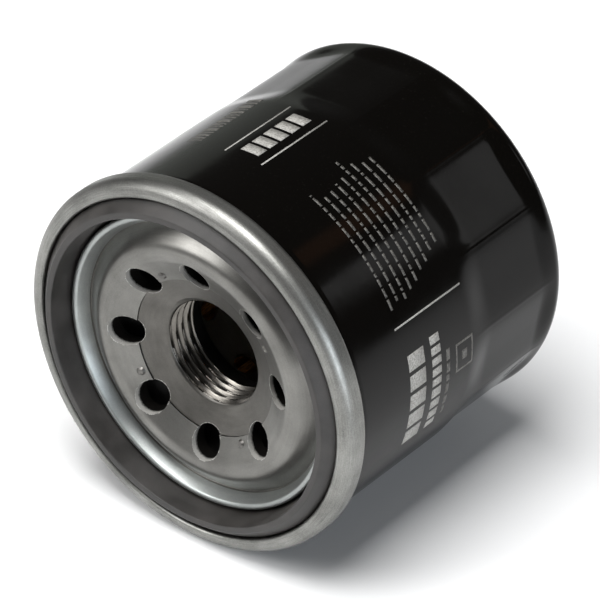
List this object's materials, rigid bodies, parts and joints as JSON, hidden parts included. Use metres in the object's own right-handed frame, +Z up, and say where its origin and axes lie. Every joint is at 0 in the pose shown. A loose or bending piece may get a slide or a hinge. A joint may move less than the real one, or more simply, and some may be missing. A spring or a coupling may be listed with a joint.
{
  "type": "spin-on oil filter",
  "caption": "Compact spin-on engine oil filter: a black steel can seamed to a plated threaded lid with inlet holes and a rubber gasket, with its element and valves inside.",
  "frame": {"origin": "centre of the gasket's sealing crown, on the thread's axis", "axes": "the filter lies on its side: Y is its axis, the threaded end faces -Y and the domed end +Y; +Z is up and X is across"},
  "size_m": [0.0678, 0.0642, 0.0678],
  "materials": {
    "can_enamel": "gloss black baked enamel",
    "lid_zinc": "satin zinc plate",
    "seam_compound": "matt cured compound",
    "gasket_rubber": "matt moulded nitrile",
    "plate_steel": "zinc-plated heavy pressing",
    "weld_steel": "dull resistance-weld metal",
    "valve_rubber": "satin moulded silicone",
    "cap_tinplate": "bright tinplate",
    "filter_paper": "resin-treated pleated paper",
    "adhesive": "cured plastisol",
    "tube_steel": "perforated bare strip",
    "valve_steel": "pressed and plated",
    "spring_steel": "hardened spring steel"
  },
  "bodies": {
    "housing": {"can_shell": "can_enamel", "seaming_lid": "lid_zinc", "seam_compound": "seam_compound", "sealing_gasket": "gasket_rubber", "base_plate": "plate_steel", "tack_welds": "weld_steel", "anti_drainback_valve": "valve_rubber", "valve_support_ring": "valve_steel", "retaining_spring": "spring_steel"},
    "element": {"lower_end_cap": "cap_tinplate", "upper_end_cap": "cap_tinplate", "pleated_media": "filter_paper", "pleat_seam_clip": "valve_steel", "centre_tube": "tube_steel", "lower_adhesive": "adhesive", "upper_adhesive": "adhesive", "bypass_valve_seat": "valve_steel", "bypass_valve_cage": "valve_steel", "bypass_spring": "spring_steel"},
    "bypass_valve": {"bypass_poppet": "valve_steel", "bypass_valve_seal": "valve_rubber"}
  },
  "joints": [
    {"name": "element_lift", "type": "slide", "parent": "housing", "child": "element", "axis": [0, 1, 0], "range_m": [0, 0.0008], "stiffness_N_per_m": 20000, "springref_m": -0.003, "deforming": ["retaining_spring"]},
    {"name": "bypass_open", "type": "slide", "parent": "element", "child": "bypass_valve", "axis": [0, -1, 0], "range_m": [0, 0.0025], "stiffness_N_per_m": 1500, "springref_m": -0.0063, "deforming": ["bypass_spring"]}
  ]
}
